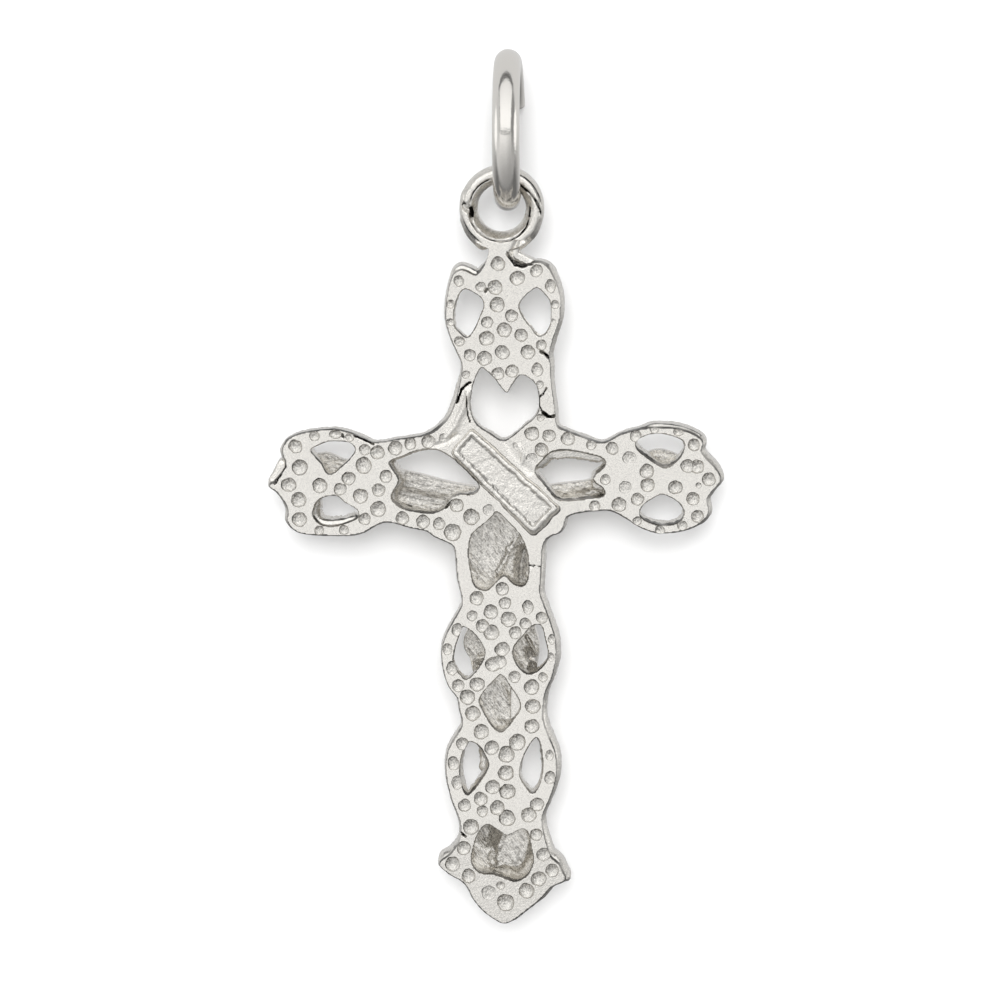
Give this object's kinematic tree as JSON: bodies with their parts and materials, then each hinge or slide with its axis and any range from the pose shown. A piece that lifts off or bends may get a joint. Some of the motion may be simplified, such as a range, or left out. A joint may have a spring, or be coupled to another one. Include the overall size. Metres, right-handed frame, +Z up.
{
  "type": "crucifix charm on a jump ring",
  "caption": "Pierced cast crucifix charm with a figure on its front, hanging by a round eye from a jump ring.",
  "frame": {"origin": "inside top of the jump ring, where a chain or hook carries the charm", "axes": "+Z up, along the cross from foot to eye; +Y from the pierced back of the cross to the front that carries the figure; +X to the right as seen from the back"},
  "size_m": [0.0167, 0.006, 0.0325],
  "materials": {
    "cast_silver": "cast sterling silver, tumbled bright, rough and grey in the hollows",
    "ring_silver": "polished sterling silver wire"
  },
  "bodies": {
    "ring": {"jump_ring": "ring_silver"},
    "pendant": {"crucifix": "cast_silver"}
  },
  "joints": [
    {"name": "pendant_swing", "type": "hinge", "parent": "ring", "child": "pendant", "pos_m": [0, 0, -0.00438], "axis": [0, 1, 0], "range_deg": [-80, 80]}
  ]
}
